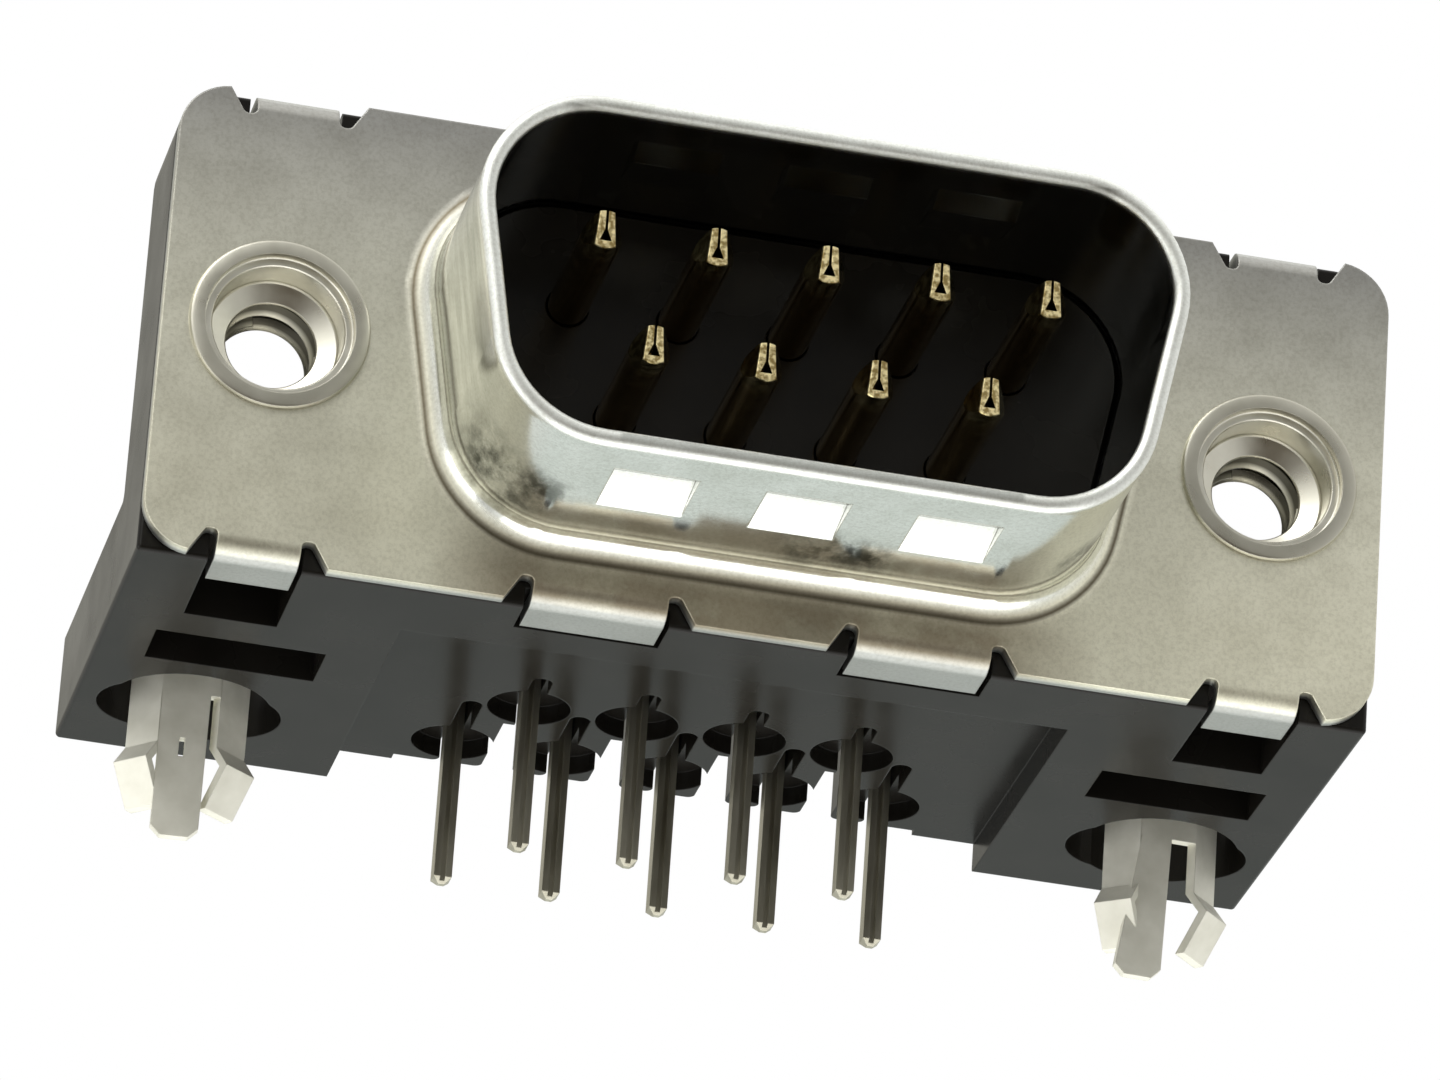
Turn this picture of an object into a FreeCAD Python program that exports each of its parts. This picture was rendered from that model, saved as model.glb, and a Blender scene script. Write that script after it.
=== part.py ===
# A nine-way right-angle D connector with pins, for the edge of a circuit board.
# The board lies in the plane Z = 0 and the mating face looks towards -Y.
# The origin is on the board, midway between the two board locks.
import FreeCAD, Part
import os
import Sketcher

os.makedirs("parts", exist_ok=True)
doc = FreeCAD.newDocument("d_connector")
sizes = doc.addObject("Spreadsheet::Sheet", "sizes")

# Driving dimensions in millimetres and degrees.
# Depths are counted from the front of the flange, heights from the middle of the D.
DIMENSIONS = [
    ("hole_spacing", 24.99, "between the screw inserts, and between the board locks"),
    ("contact_pitch", 2.77, "between contacts in a row"),
    ("row_pitch", 2.84, "between the two rows, at the pins and at the tails"),
    ("centre_height", 6.25, "middle of the D above the board"),
    ("setback", 9.5, "front of the flange to the line of the board locks"),
    ("tail_middle", 9.7, "front of the flange to midway between the rows of tails"),
    ("fit_gap", 0.03, "clearance of a fitted piece in its hole, on the radius"),
    ("sheet", 0.4, "sheet of the front shell"),
    ("ear_width", 2.905, "flange and housing beyond the middle of a screw insert"),
    ("flange_height", 12.5, "flange, bottom to top"),
    ("flange_corner", 1.3, "corner radius of the flange"),
    ("mouth_width", 16.34, "inside of the shroud at mid height"),
    ("mouth_height", 8.36, "inside of the shroud"),
    ("mouth_slant", 10, "lean of the shroud's side walls"),
    ("mouth_corner", 2.55, "inside corner radius of the shroud"),
    ("shroud_length", 5.95, "shroud in front of the flange"),
    ("root_radius", 0.7, "drawn radius outside, where the shroud meets the flange"),
    ("rim_round", 0.14, "rounding of the shroud's rim"),
    ("tab_bend", 0.55, "outside bend radius of the tabs"),
    ("tab_reach", 1.6, "front of the flange to the free end of a tab"),
    ("outer_tab_width", 2.05, "tabs under and over the screw inserts"),
    ("inner_tab_width", 3.35, "tabs nearer the middle"),
    ("inner_tab_place", 4.05, "inner tab from the middle"),
    ("relief_width", 0.7, "relief notch beside a tab, at the flange edge"),
    ("relief_top", 0.3, "relief notch at its closed end"),
    ("relief_height", 0.65, "relief notch, into the flange"),
    ("relief_round", 0.16, "rounding of the closed end of a notch"),
    ("dimple_width", 2.1, "grounding dimple, left to right"),
    ("dimple_pitch", 3.75, "between grounding dimples"),
    ("dimple_near", 2.4, "dimple's edge on the flange side"),
    ("dimple_deepest", 3.95, "deepest line of the dimple"),
    ("dimple_far", 4.6, "dimple's edge on the rim side"),
    ("dimple_depth", 0.28, "how far the dimple is pressed in"),
    ("seat_gap", 0.05, "flange to the housing behind it"),
    ("upright_back", 3.85, "rear face of the housing's upright"),
    ("foot_back", 12.7, "rear face of the feet"),
    ("foot_thickness", 2.8, "feet, bottom to top"),
    ("centre_width", 16.85, "raised middle between the two feet"),
    ("centre_lift", 0.8, "raised middle above the board"),
    ("centre_front", 2.9, "where the raised middle starts"),
    ("block_width", 18.4, "block that holds the contacts"),
    ("block_top", 4.3, "top of that block above the middle of the D"),
    ("block_back", 5.6, "rear face of that block"),
    ("nose_front", 0.55, "insulator face in front of the flange"),
    ("nose_gap", 0.1, "insulator to the inside of the shroud"),
    ("housing_round", 0.12, "rounded edges of the housing"),
    ("pocket_side", 0.13, "clearance beside a tab in its pocket"),
    ("pocket_gap", 0.1, "clearance over a tab in its pocket"),
    ("pocket_depth", 1.3, "deep pockets over the lower outer tabs"),
    ("core_width", 4.24, "cored slot in a foot, left to right"),
    ("core_inset", 0.5, "middle of the cored slot from the insert, inwards"),
    ("core_front", 5.05, "front edge of the cored slot"),
    ("core_length", 1.75, "cored slot, front to back"),
    ("core_depth", 1.9, "cored slot, upwards"),
    ("lock_hole_radius", 2.05, "hole for a board lock"),
    ("lobe_radius", 1.4, "side lobes of that hole"),
    ("lobe_spread", 0.93, "middle of a lobe beside the hole's middle"),
    ("lobe_back", 0.2, "middle of a lobe behind the lock"),
    ("slot_half", 0.26, "half width of the square seat a tail stands in"),
    ("throat_half", 0.12, "half width of the throat behind that seat"),
    ("comb_half", 0.4, "half width of a front-row slot where it widens"),
    ("comb_start", 1.2, "where it widens, behind the front row of tails"),
    ("comb_width", 13.6, "stretch of the rear edge that is set back, about the tails"),
    ("comb_back", 12.4, "rear face there"),
    ("comb_round", 0.2, "rounded rear ends of the walls between the slots"),
    ("funnel_radius", 1.05, "round recess about each tail"),
    ("funnel_depth", 0.5, "depth of that recess"),
    ("notch_front", 1.9, "blind notch before the recess, front row"),
    ("notch_rear", 2.75, "blind notch before the recess, rear row"),
    ("notch_depth", 1.2, "depth of those notches"),
    ("recess_side", 0.1, "clearance beside a strap in its recess"),
    ("pin_radius", 0.51, "mating pin"),
    ("pin_reach", 5.13, "tip of a pin in front of the flange"),
    ("pin_root", 4.2, "rear end of the round part of a contact"),
    ("nose_radius", 0.49, "front of a pin, above and below"),
    ("nose_bevel", 0.06, "length of the bevel there"),
    ("pinch_half", 0.21, "half width of the pinched tip, at mid height"),
    ("pinch_length", 0.65, "length of the pinched part"),
    ("pinch_lean", 4.6, "lean of its two sides, closer at the top"),
    ("nose_hollow", 0.31, "three-sided hollow in the tip, side to side"),
    ("hollow_top", 0.08, "top of that hollow above the pin's middle"),
    ("hollow_floor", 0.31, "floor of that hollow below the pin's middle"),
    ("nose_hollow_depth", 1.8, "depth of that hollow"),
    ("seam_width", 0.07, "seam of the rolled pin"),
    ("seam_length", 1.6, "open part of the seam"),
    ("tail_width", 0.46, "square tail"),
    ("tail_bend", 0.7, "inside bend radius of a contact"),
    ("tail_length", 3.1, "tail below the board face it stands on"),
    ("tail_point", 0.15, "bevel at the tail's end"),
    ("tail_groove", 0.13, "width of the groove down the tail"),
    ("tail_groove_depth", 0.09, "depth of that groove"),
    ("insert_radius", 2.0, "body of a screw insert"),
    ("lip_radius", 2.24, "lip in front of the flange"),
    ("lip_height", 0.15, "lip in front of the flange"),
    ("lip_round", 0.09, "rounding of the lip"),
    ("ring_radius", 1.86, "stepped ring inside the lip"),
    ("ring_depth", 0.12, "floor of that step"),
    ("cup_radius", 1.64, "cup in front of the thread"),
    ("cup_depth", 1.05, "side wall of the cup"),
    ("thread_front", 1.2, "where the thread starts"),
    ("thread_bore", 1.12, "radius of the thread's bore"),
    ("insert_back", 2.83, "rear end of a screw insert"),
    ("clinch_radius", 2.35, "clinched collar at the rear"),
    ("clinch_height", 0.3, "that collar, front to back"),
    ("lock_sheet", 0.25, "sheet of a board lock"),
    ("eyelet_half", 2.4, "half width of the strap's eyelet"),
    ("eyelet_round", 2.2, "corner radius of the eyelet"),
    ("strap_width", 3.0, "strap along the foot"),
    ("strap_bend", 0.2, "inside bend radius of the strap"),
    ("web_half", 0.74, "half width of the bridge above the prongs"),
    ("web_foot", 0.3, "bridge's lower edge above the board"),
    ("leg_half", 0.6, "half width of the middle prong"),
    ("leg_reach", 3.55, "middle prong below the board"),
    ("leg_bevel", 0.25, "bevelled corners of its end"),
    ("leg_slot_width", 0.14, "slot in the left lock's middle prong"),
    ("leg_slot_top", 0.9, "its upper end below the board"),
    ("leg_slot_length", 0.5, "its length"),
    ("wing_angle", 43, "side prongs, turned back from the bridge"),
    ("wing_width", 1.03, "side prong across its sheet"),
    ("wing_top", 2.0, "top of a side prong above the board"),
    ("barb_start", 1.05, "where a side prong steps out, below the board"),
    ("barb_widest", 1.6, "widest point of the barb, below the board"),
    ("barb_out", 0.4, "how far the barb stands out"),
    ("barb_in", 0.22, "how far its end turns in"),
    ("wing_reach", 2.65, "side prong below the board"),
    ("leg_slit", 0.03, "slit between the middle prong and the left side prong"),
    ("lock_twist_left", -5, "turn of the left lock's prongs"),
    ("lock_twist_right", 3, "turn of the right lock's prongs"),
    ("bridge_shift_left", 0, "left lock's bridge and side prongs, moved along the bridge"),
    ("bridge_shift_right", 0.25, "right lock's bridge and side prongs, moved along the bridge"),
    ("leg_shift_left", -0.1, "left lock's middle prong at the bridge, moved along the bridge"),
    ("leg_shift_right", -0.27, "right lock's middle prong at the bridge, moved along the bridge"),
    ("tip_shift_left", -0.12, "end of the left lock's middle prong, moved likewise"),
    ("tip_shift_right", -0.4, "end of the right lock's middle prong, moved likewise"),
]
for line, (alias, value, note) in enumerate(DIMENSIONS, 1):
    sizes.set(f"A{line}", alias)
    sizes.set(f"B{line}", str(value))
    sizes.setAlias(f"B{line}", alias)
    sizes.set(f"C{line}", note)
doc.recompute()

# Expressions that several pieces share.
INSERT_X = "sizes.hole_spacing / 2"
FLANGE_EDGE = "sizes.flange_height / 2"
HOUSING_FRONT = "(sizes.sheet + sizes.seat_gap)"
BOARD = "-sizes.centre_height"
FOOT_TOP = "(-sizes.centre_height + sizes.foot_thickness)"
CENTRE_FLOOR = "(-sizes.centre_height + sizes.centre_lift)"
FRONT_ROW = "(sizes.tail_middle - sizes.row_pitch / 2)"
REAR_ROW = "(sizes.tail_middle + sizes.row_pitch / 2)"
STRAP_SEAT = "(sizes.insert_back - sizes.clinch_height - sizes.lock_sheet - sizes.fit_gap)"
BEYOND = "sizes.flange_height"
SIDE = "(sizes.hole_spacing / 2 + sizes.ear_width)"
LEVEL = 1e-4


def size(alias):
    return float(sizes.get(alias))


def new_body(name, across="0", above="0"):
    # Each body's own frame sits on the flange's front face, level with the middle of the D.
    body = doc.addObject("PartDesign::Body", name)
    body.Label = name
    body.setExpression("Placement.Base.x", across)
    body.setExpression("Placement.Base.y", "-sizes.setback")
    body.setExpression("Placement.Base.z", f"sizes.centre_height + {above}")
    return body


def new_sketch(body, name, role, shift="0", turn=None):
    # The sketch lies on an origin plane of its own body, moved along that plane's normal.
    sketch = body.newObject("Sketcher::SketchObject", name)
    support = [item for item in body.Origin.OriginFeatures if item.Role == role][0]
    sketch.AttachmentSupport = [(support, "")]
    sketch.MapMode = "FlatFace"
    if turn:
        angle, along, out = turn
        sketch.AttachmentOffset = FreeCAD.Placement(
            FreeCAD.Vector(), FreeCAD.Rotation(FreeCAD.Vector(0, 1, 0), 1))
        sketch.setExpression("AttachmentOffset.Rotation.Angle", angle)
        sketch.setExpression("AttachmentOffset.Base.x", along)
        sketch.setExpression("AttachmentOffset.Base.z", out)
    else:
        sketch.setExpression("AttachmentOffset.Base.z", shift)
    return sketch


def outline(body, name, role, loops, shift="0", turn=None):
    # Closed loops of straight lines, with every corner bound to the sheet.
    sketch = new_sketch(body, name, role, shift, turn)
    for corners in loops:
        spots = [FreeCAD.Vector(float(sketch.evalExpression(a)), float(sketch.evalExpression(b)), 0)
                 for a, b in corners]
        first, count = sketch.GeometryCount, len(corners)
        for i in range(count):
            sketch.addGeometry(Part.LineSegment(spots[i], spots[(i + 1) % count]), False)
        for i in range(count):
            sketch.addConstraint(
                Sketcher.Constraint("Coincident", first + i, 2, first + (i + 1) % count, 1))
        for i, (a, b) in enumerate(corners):
            for kind, place, value in (("DistanceX", a, spots[i].x), ("DistanceY", b, spots[i].y)):
                number = sketch.addConstraint(Sketcher.Constraint(kind, first + i, 1, value))
                sketch.setExpression(f"Constraints[{number}]", place)
    return sketch


def discs(body, name, role, circles, shift="0"):
    # Circles given as centre, centre and radius, all bound to the sheet.
    sketch = new_sketch(body, name, role, shift)
    for a, b, radius in circles:
        spot = FreeCAD.Vector(float(sketch.evalExpression(a)), float(sketch.evalExpression(b)), 0)
        reach = float(sketch.evalExpression(radius))
        which = sketch.addGeometry(Part.Circle(spot, FreeCAD.Vector(0, 0, 1), reach), False)
        for kind, where, place, value in (("DistanceX", 3, a, spot.x), ("DistanceY", 3, b, spot.y)):
            number = sketch.addConstraint(Sketcher.Constraint(kind, which, where, value))
            sketch.setExpression(f"Constraints[{number}]", place)
        number = sketch.addConstraint(Sketcher.Constraint("Radius", which, reach))
        sketch.setExpression(f"Constraints[{number}]", radius)
    return sketch


def pad(body, sketch, length, midplane=False, reverse=False):
    feature = body.newObject("PartDesign::Pad", sketch.Name + "_pad")
    feature.Profile = sketch
    feature.setExpression("Length", length)
    feature.Midplane = midplane
    feature.Reversed = reverse
    feature.Refine = True
    doc.recompute()
    return feature


def cut(body, sketch, length=None, midplane=False):
    # With no length the cut runs right through, against the sketch's normal.
    before = body.Tip.Shape.Volume
    feature = body.newObject("PartDesign::Pocket", sketch.Name + "_cut")
    feature.Profile = sketch
    feature.Midplane = midplane
    feature.Refine = True
    if length:
        feature.setExpression("Length", length)
    else:
        feature.Type = "ThroughAll"
    doc.recompute()
    if not feature.Shape.Volume < before:
        raise RuntimeError(f"{feature.Name} removes nothing")
    return feature


def revolve(body, sketch):
    feature = body.newObject("PartDesign::Revolution", sketch.Name + "_turned")
    feature.Profile = sketch
    feature.ReferenceAxis = (sketch, ["H_Axis"])
    feature.Angle = 360
    doc.recompute()
    return feature


def round_off(body, name, radius, wanted):
    # Rounds every edge of the body that the test picks.
    base = body.Tip
    names = [f"Edge{i}" for i, edge in enumerate(base.Shape.Edges, 1) if wanted(edge)]
    if not names:
        raise RuntimeError(f"{name} finds no edge")
    feature = body.newObject("PartDesign::Fillet", name)
    feature.Base = (base, names)
    feature.setExpression("Radius", radius)
    doc.recompute()
    return feature


def bevel(body, name, amount, wanted):
    base = body.Tip
    names = [f"Edge{i}" for i, edge in enumerate(base.Shape.Edges, 1) if wanted(edge)]
    feature = body.newObject("PartDesign::Chamfer", name)
    feature.Base = (base, names)
    feature.setExpression("Size", amount)
    doc.recompute()
    return feature


def middle(edge):
    return edge.valueAt((edge.FirstParameter + edge.LastParameter) / 2)


def runs_along(edge, axis):
    if edge.Degenerated or edge.Curve.TypeId != "Part::GeomLine":
        return False
    return abs(getattr(edge.tangentAt(edge.FirstParameter), axis)) > 1 - LEVEL


def near(a, b):
    return abs(a - b) < LEVEL


def box_loop(x0, x1, y0, y1):
    return [(x0, y0), (x1, y0), (x1, y1), (x0, y1)]


def d_loop(offset):
    # The D of the shroud's inside, grown by an offset: wide at the top, leaning sides.
    tall = f"(sizes.mouth_height / 2 + {offset})"
    half = f"(sizes.mouth_width / 2 + ({offset}) / cos(sizes.mouth_slant))"
    lean = f"{tall} * tan(sizes.mouth_slant)"
    return [(f"-{half} - {lean}", tall), (f"-{half} + {lean}", f"-{tall}"),
            (f"{half} - {lean}", f"-{tall}"), (f"{half} + {lean}", tall)]


def tab_list():
    # Name, middle and width of the four tabs along one edge of the flange.
    tabs = []
    for side, sign in (("left", "-"), ("right", "")):
        tabs.append((f"outer_{side}", f"{sign}{INSERT_X}", "sizes.outer_tab_width"))
        tabs.append((f"inner_{side}", f"{sign}sizes.inner_tab_place", "sizes.inner_tab_width"))
    return tabs


def shroud(body):
    # The deep-drawn D: outside, drawn root, inside, flared back and rounded rim.
    length, sheet = size("shroud_length"), size("sheet")
    pad(body, outline(body, "shroud", "XZ_Plane", [d_loop("sizes.sheet")]), "sizes.shroud_length")
    cut(body, outline(body, "mouth", "XZ_Plane", [d_loop("0")]), midplane=True)
    round_off(body, "mouth_corners", "sizes.mouth_corner",
              lambda e: runs_along(e, "y") and near(e.Length, length + sheet))
    round_off(body, "shroud_corners", "sizes.mouth_corner + sizes.sheet",
              lambda e: runs_along(e, "y") and near(e.Length, length))
    reach = (size("mouth_width") + size("mouth_height")) / 2
    height = size("mouth_height") / 2 + sheet + LEVEL
    round_off(body, "shroud_root", "sizes.root_radius",
              lambda e: near(e.BoundBox.YMin, 0) and near(e.BoundBox.YMax, 0)
              and abs(middle(e).z) < height and abs(middle(e).x) < reach)
    round_off(body, "mouth_flare", "sizes.root_radius + sizes.sheet",
              lambda e: near(e.BoundBox.YMin, sheet) and near(e.BoundBox.YMax, sheet)
              and abs(middle(e).z) < height and abs(middle(e).x) < reach)
    round_off(body, "shroud_rim", "sizes.rim_round",
              lambda e: near(e.BoundBox.YMin, -length) and near(e.BoundBox.YMax, -length))


def dimples(body):
    # Three grounding dimples in the top wall and three in the bottom one.
    # Each is a ramp pressed inwards, so the wall keeps its thickness.
    wall = "sizes.mouth_height / 2"
    for face, sign in (("bottom", "-"), ("top", "")):
        for number in (-1, 0, 1):
            place = f"{number} * sizes.dimple_pitch"
            for layer, level in (("bump", wall), ("dent", f"{wall} + sizes.sheet")):
                ramp = [("-sizes.dimple_near", f"{sign}({level})"),
                        ("-sizes.dimple_deepest", f"{sign}({level} - sizes.dimple_depth)"),
                        ("-sizes.dimple_far", f"{sign}({level})")]
                name = f"{layer}_{face}_{number + 2}"
                sketch = outline(body, name, "YZ_Plane", [ramp], shift=place)
                if layer == "bump":
                    pad(body, sketch, "sizes.dimple_width", midplane=True)
                else:
                    cut(body, sketch, "sizes.dimple_width", midplane=True)


def flange_tabs(body):
    # Relief notches in both long edges, and tabs folded back over the housing.
    sheet, edge = size("sheet"), size("flange_height") / 2
    notches = []
    for sign in ("-", ""):
        for name, at, width in tab_list():
            for way, back in (("-", "+"), ("+", "-")):
                flank = f"{at} {way} {width} / 2"
                notches.append([
                    (flank, f"{sign}({FLANGE_EDGE} - sizes.relief_height)"),
                    (f"{flank} {way} sizes.relief_top", f"{sign}({FLANGE_EDGE} - sizes.relief_height)"),
                    (f"{flank} {way} sizes.relief_width", f"{sign}{FLANGE_EDGE}"),
                    (f"{flank} {way} sizes.relief_width", f"{sign}({FLANGE_EDGE} + sizes.sheet)"),
                    (flank, f"{sign}({FLANGE_EDGE} + sizes.sheet)")])
    cut(body, outline(body, "relief", "XZ_Plane", notches), midplane=True)
    floor = edge - size("relief_height")
    round_off(body, "relief_rounds", "sizes.relief_round",
              lambda e: runs_along(e, "y") and near(abs(middle(e).z), floor))
    for face, sign in (("bottom", "-"), ("top", "")):
        for name, at, width in tab_list():
            leg = [("sizes.sheet", f"{sign}({FLANGE_EDGE} - sizes.sheet)"),
                   ("sizes.tab_reach", f"{sign}({FLANGE_EDGE} - sizes.sheet)"),
                   ("sizes.tab_reach", f"{sign}{FLANGE_EDGE}"),
                   ("sizes.sheet", f"{sign}{FLANGE_EDGE}")]
            pad(body, outline(body, f"tab_{name}_{face}", "YZ_Plane", [leg], shift=at), width, midplane=True)
    places = (size("hole_spacing") / 2, size("inner_tab_place"))
    across_tab = lambda e: runs_along(e, "x") and any(near(abs(middle(e).x), x) for x in places)
    round_off(body, "tab_outside", "sizes.tab_bend",
              lambda e: across_tab(e) and near(middle(e).y, 0) and near(abs(middle(e).z), edge))
    round_off(body, "tab_inside", "sizes.tab_bend - sizes.sheet",
              lambda e: across_tab(e) and near(middle(e).y, sheet) and near(abs(middle(e).z), edge - sheet))


def front_shell():
    body = new_body("front_shell")
    face = box_loop(f"-{SIDE}", SIDE, f"-{FLANGE_EDGE}", FLANGE_EDGE)
    pad(body, outline(body, "flange", "XZ_Plane", [face]), "sizes.sheet", reverse=True)
    round_off(body, "flange_corners", "sizes.flange_corner", lambda e: runs_along(e, "y"))
    shroud(body)
    dimples(body)
    holes = [(f"{sign}{INSERT_X}", "0", "sizes.insert_radius + sizes.fit_gap") for sign in ("-", "")]
    cut(body, discs(body, "insert_holes", "XZ_Plane", holes), midplane=True)
    flange_tabs(body)
    return body


def contact_places():
    # Number, place across, side of the middle and tail row, as seen on the mating face.
    places = []
    for i in range(5):
        places.append((i + 1, f"{i - 2} * sizes.contact_pitch", "", REAR_ROW))
    for i in range(4):
        places.append((i + 6, f"{i - 1.5} * sizes.contact_pitch", "-", FRONT_ROW))
    return places


def housing_solid(body):
    # The upright behind the flange and the two feet are one L, seen from the side.
    side = [(HOUSING_FRONT, BOARD), ("sizes.foot_back", BOARD), ("sizes.foot_back", FOOT_TOP),
            ("sizes.upright_back", FOOT_TOP), ("sizes.upright_back", FLANGE_EDGE),
            (HOUSING_FRONT, FLANGE_EDGE)]
    pad(body, outline(body, "side_view", "YZ_Plane", [side]), f"2 * {SIDE}", midplane=True)
    top = size("flange_height") / 2
    round_off(body, "upright_corners", "sizes.flange_corner",
              lambda e: runs_along(e, "y") and near(middle(e).z, top))
    round_off(body, "housing_edges", "sizes.housing_round", lambda e: True)
    block = box_loop("sizes.upright_back - sizes.sheet", "sizes.block_back",
                     f"{FOOT_TOP} - sizes.sheet", "sizes.block_top")
    pad(body, outline(body, "contact_block", "YZ_Plane", [block]), "sizes.block_width", midplane=True)
    nose = outline(body, "nose", "XZ_Plane", [d_loop("(-sizes.nose_gap)")],
                   shift=f"-{HOUSING_FRONT} - sizes.sheet")
    pad(body, nose, f"{HOUSING_FRONT} + sizes.sheet + sizes.nose_front")
    front = -size("nose_front")
    round_off(body, "nose_corners", "sizes.mouth_corner - sizes.nose_gap",
              lambda e: runs_along(e, "y") and near(e.BoundBox.YMin, front))


def housing_underside(body):
    # Raised middle, pockets for the tabs, cored slots and the holes for the board locks.
    raised = box_loop("sizes.centre_front", f"sizes.foot_back + {BEYOND}", f"{BOARD} - {BEYOND}", CENTRE_FLOOR)
    cut(body, outline(body, "raised_middle", "YZ_Plane", [raised]), "sizes.centre_width", midplane=True)
    shallow = "(sizes.sheet + sizes.pocket_gap)"
    for name, at, width in tab_list():
        for face, sign in (("bottom", "-"), ("top", "")):
            deep = name.startswith("outer") and face == "bottom"
            depth = "sizes.pocket_depth" if deep else shallow
            back = "sizes.upright_back" if deep else "(sizes.tab_reach + sizes.pocket_side)"
            pocket = box_loop("0", back, f"{sign}({FLANGE_EDGE} - {depth})", f"{sign}({FLANGE_EDGE} + sizes.sheet)")
            sketch = outline(body, f"pocket_{name}_{face}", "YZ_Plane", [pocket], shift=at)
            cut(body, sketch, f"{width} + 2 * sizes.pocket_side", midplane=True)
    slots, holes = [], []
    for sign in (-1, 1):
        middle_x = f"{sign} * ({INSERT_X} - sizes.core_inset)"
        slots.append(box_loop(f"{middle_x} - sizes.core_width / 2", f"{middle_x} + sizes.core_width / 2",
                              "sizes.core_front", "sizes.core_front + sizes.core_length"))
        holes.append((f"{sign} * {INSERT_X}", "sizes.setback", "sizes.lock_hole_radius"))
    cut(body, outline(body, "core_slots", "XY_Plane", slots, shift=f"{BOARD} + sizes.core_depth"))
    cut(body, discs(body, "lock_holes", "XY_Plane", holes), midplane=True)
    for side, way in (("outer", 1), ("inner", -1)):
        lobes = [(f"{sign} * ({INSERT_X} + {way} * sizes.lobe_spread)", "sizes.setback + sizes.lobe_back",
                  "sizes.lobe_radius") for sign in (-1, 1)]
        cut(body, discs(body, f"lock_lobes_{side}", "XY_Plane", lobes), midplane=True)


def housing_comb(body):
    # Slots open to the rear let the tails in, past a narrow throat into a square seat.
    # Below, each tail has a round recess with a notch before it.
    back, half = "sizes.foot_back + sizes.sheet", "sizes.slot_half"
    short = box_loop("-sizes.comb_width / 2", "sizes.comb_width / 2", "sizes.comb_back", back)
    cut(body, outline(body, "comb_short", "XY_Plane", [short]), midplane=True)
    seats, throats, wide, notches, ends, recesses = [], [], [], [], [], []
    for number, across, sign, row in contact_places():
        seats.append(box_loop(f"{across} - {half}", f"{across} + {half}", f"{row} - {half}", f"{row} + {half}"))
        throats.append(box_loop(f"{across} - sizes.throat_half", f"{across} + sizes.throat_half", row, back))
        if row == FRONT_ROW:
            wide.append(box_loop(f"{across} - sizes.comb_half", f"{across} + sizes.comb_half",
                                 f"{row} + sizes.comb_start", back))
        tip = f"{row} - sizes.notch_{'front' if row == FRONT_ROW else 'rear'} + {half}"
        notches.append(box_loop(f"{across} - {half}", f"{across} + {half}", tip, row))
        ends.append((across, tip, half))
        recesses.append((across, row, "sizes.funnel_radius"))
    cut(body, outline(body, "comb_seats", "XY_Plane", seats), midplane=True)
    cut(body, outline(body, "comb_throats", "XY_Plane", throats), midplane=True)
    cut(body, outline(body, "comb_wide", "XY_Plane", wide), midplane=True)
    rear, flank = size("comb_back"), size("comb_width") / 2
    round_off(body, "comb_rounds", "sizes.comb_round",
              lambda e: runs_along(e, "z") and near(middle(e).y, rear) and abs(middle(e).x) < flank - LEVEL)
    level = f"{CENTRE_FLOOR} + sizes.funnel_depth"
    cut(body, discs(body, "comb_recesses", "XY_Plane", recesses, shift=level))
    level = f"{CENTRE_FLOOR} + sizes.notch_depth"
    cut(body, outline(body, "comb_notches", "XY_Plane", notches, shift=level))
    cut(body, discs(body, "comb_notch_ends", "XY_Plane", ends, shift=level))


def housing_bores(body):
    # Bores for the contacts and the inserts, and recesses for the straps behind the upright.
    bores = [(across, f"{sign}sizes.row_pitch / 2", "sizes.pin_radius + sizes.fit_gap")
             for number, across, sign, row in contact_places()]
    cut(body, discs(body, "contact_bores", "XZ_Plane", bores), midplane=True)
    holes = [(f"{sign}{INSERT_X}", "0", "sizes.insert_radius + sizes.fit_gap") for sign in ("-", "")]
    cut(body, discs(body, "insert_bores", "XZ_Plane", holes), midplane=True)
    half = "(sizes.eyelet_half + sizes.recess_side)"
    recesses = [box_loop(f"{sign} * {INSERT_X} - {half}", f"{sign} * {INSERT_X} + {half}", FOOT_TOP, half)
                for sign in (-1, 1)]
    cut(body, outline(body, "strap_recesses", "XZ_Plane", recesses, shift=f"-{STRAP_SEAT}"))


def housing():
    body = new_body("housing")
    housing_solid(body)
    housing_underside(body)
    housing_comb(body)
    housing_bores(body)
    return body


def pinched_tip(body):
    # The rolled sheet is pinched from both sides, so the tip's face is narrow and tall.
    start, end = "-sizes.pin_reach", "-sizes.pin_reach + sizes.pinch_length"
    for name, way in (("left", "-"), ("right", "+")):
        wedge = [(f"{way} sizes.pinch_half", start), (f"{way} sizes.pin_radius", end),
                 (f"{way} 2 * sizes.pin_radius", end), (f"{way} 2 * sizes.pin_radius", f"{start} - sizes.pin_radius"),
                 (f"{way} sizes.pinch_half", f"{start} - sizes.pin_radius")]
        lean = f"{'-' if way == '+' else ''}sizes.pinch_lean"
        sketch = outline(body, f"pinch_{name}", "XY_Plane", [wedge], turn=(lean, "0", "0"))
        cut(body, sketch, "4 * sizes.pin_radius", midplane=True)


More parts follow.
